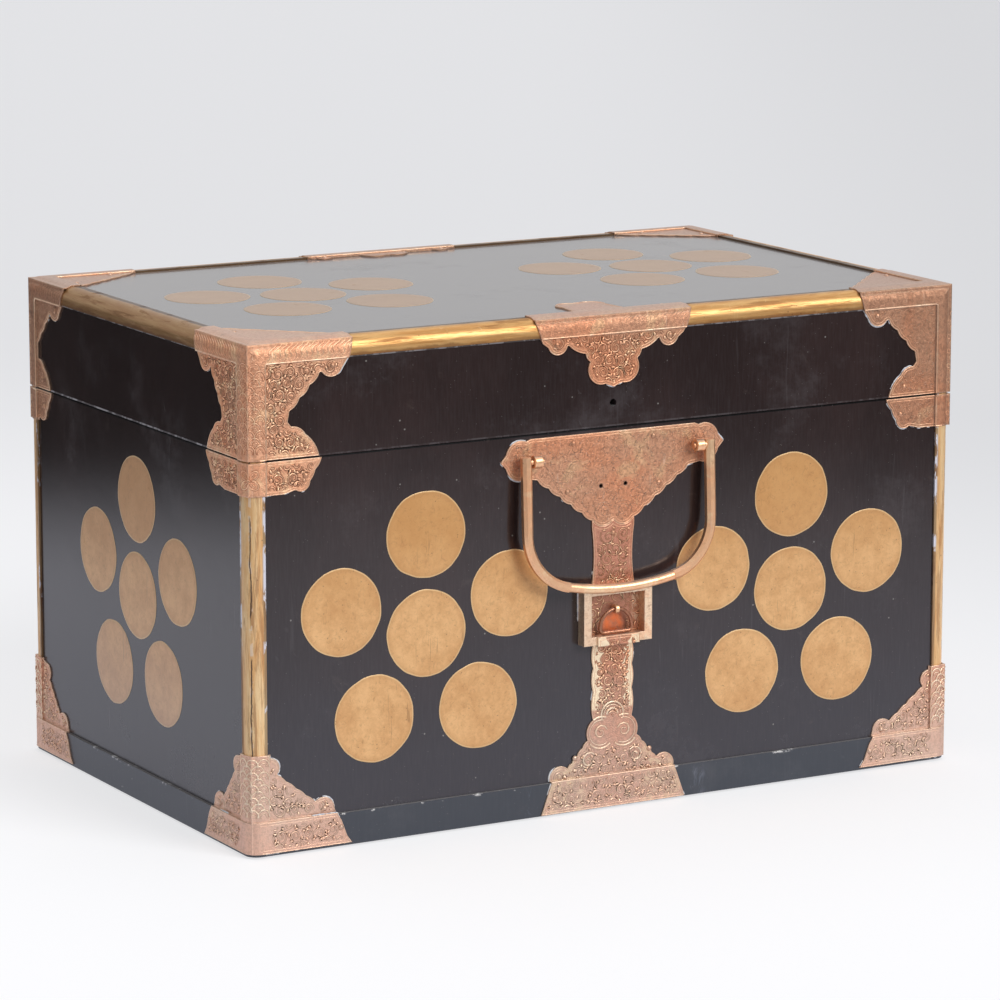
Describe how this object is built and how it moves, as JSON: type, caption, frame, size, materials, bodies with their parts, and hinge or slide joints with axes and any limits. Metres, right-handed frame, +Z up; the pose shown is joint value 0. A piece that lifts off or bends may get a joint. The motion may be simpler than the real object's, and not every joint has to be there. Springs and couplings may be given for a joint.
{
  "type": "lacquer trunk",
  "caption": "Lacquered travelling trunk with a lift-off lid, gilt posts and beads, engraved copper corner mounts, and a swinging bail over a small lock frame on each long side.",
  "frame": {"origin": "on the floor, under the middle of the trunk", "axes": "+Z up, -Y towards the front long side, +X along the length"},
  "size_m": [0.6044, 0.407, 0.3714],
  "materials": {
    "black_lacquer": "worn satin lacquer",
    "inner_lacquer": "matt lacquered wood",
    "plinth_lacquer": "worn lacquered wood",
    "gilt_wood": "gilt, worn",
    "gold_leaf": "matt gold leaf on lacquer",
    "sheet_copper": "engraved copper sheet, worn gilding",
    "red_copper": "engraved copper sheet",
    "gilt_copper": "gilt copper, worn",
    "forged_copper": "forged copper bar, polished by use",
    "nail_copper": "small domed nails"
  },
  "bodies": {
    "case": {"floor_board": "inner_lacquer", "front_board": "black_lacquer", "back_board": "black_lacquer", "left_board": "black_lacquer", "right_board": "black_lacquer", "corner_post_front_left": "gilt_wood", "corner_post_front_right": "gilt_wood", "corner_post_back_left": "gilt_wood", "corner_post_back_right": "gilt_wood", "plinth_front": "plinth_lacquer", "plinth_back": "plinth_lacquer", "plinth_left": "plinth_lacquer", "plinth_right": "plinth_lacquer", "rim_lip_front": "inner_lacquer", "rim_lip_back": "inner_lacquer", "rim_lip_left": "inner_lacquer", "rim_lip_right": "inner_lacquer", "seam_corner_front_left": "sheet_copper", "seam_corner_front_right": "sheet_copper", "seam_corner_back_left": "sheet_copper", "seam_corner_back_right": "sheet_copper", "foot_corner_front_left": "sheet_copper", "foot_corner_front_right": "sheet_copper", "foot_corner_back_left": "sheet_copper", "foot_corner_back_right": "sheet_copper", "handle_plate_front": "sheet_copper", "handle_plate_back": "sheet_copper", "lock_strap_front": "red_copper", "lock_strap_back": "red_copper", "lock_frame_front": "gilt_copper", "lock_frame_back": "gilt_copper", "staples_front": "forged_copper", "staples_back": "forged_copper", "foot_mount_front": "sheet_copper", "foot_mount_back": "sheet_copper", "case_nails": "nail_copper", "case_crests": "gold_leaf"},
    "lid": {"lid_panel": "black_lacquer", "lid_front_board": "black_lacquer", "lid_back_board": "black_lacquer", "lid_left_board": "black_lacquer", "lid_right_board": "black_lacquer", "lid_post_front_left": "gilt_wood", "lid_post_front_right": "gilt_wood", "lid_post_back_left": "gilt_wood", "lid_post_back_right": "gilt_wood", "lid_beads": "gilt_wood", "lid_corner_front_left": "sheet_copper", "lid_corner_front_right": "sheet_copper", "lid_corner_back_left": "sheet_copper", "lid_corner_back_right": "sheet_copper", "lid_mount_front": "sheet_copper", "lid_mount_back": "sheet_copper", "lid_nails": "nail_copper", "lid_crests": "gold_leaf"},
    "front_bail": {"bail_front": "forged_copper"},
    "back_bail": {"bail_back": "forged_copper"},
    "front_ring": {"lock_ring_front": "forged_copper"},
    "back_ring": {"lock_ring_back": "forged_copper"}
  },
  "joints": [
    {"name": "lid_lift", "type": "slide", "parent": "case", "child": "lid", "axis": [0, 0, 1], "range_m": [0, 0.4]},
    {"name": "front_bail_swing", "type": "hinge", "parent": "case", "child": "front_bail", "pos_m": [0, -0.1955, 0.2675], "axis": [-1, 0, 0], "range_deg": [0, 172]},
    {"name": "back_bail_swing", "type": "hinge", "parent": "case", "child": "back_bail", "pos_m": [0, 0.1955, 0.2675], "axis": [1, 0, 0], "range_deg": [0, 172]},
    {"name": "front_ring_swing", "type": "hinge", "parent": "case", "child": "front_ring", "pos_m": [0, -0.1925, 0.1507], "axis": [-1, 0, 0], "range_deg": [0, 85]},
    {"name": "back_ring_swing", "type": "hinge", "parent": "case", "child": "back_ring", "pos_m": [0, 0.1925, 0.1507], "axis": [1, 0, 0], "range_deg": [0, 85]}
  ]
}
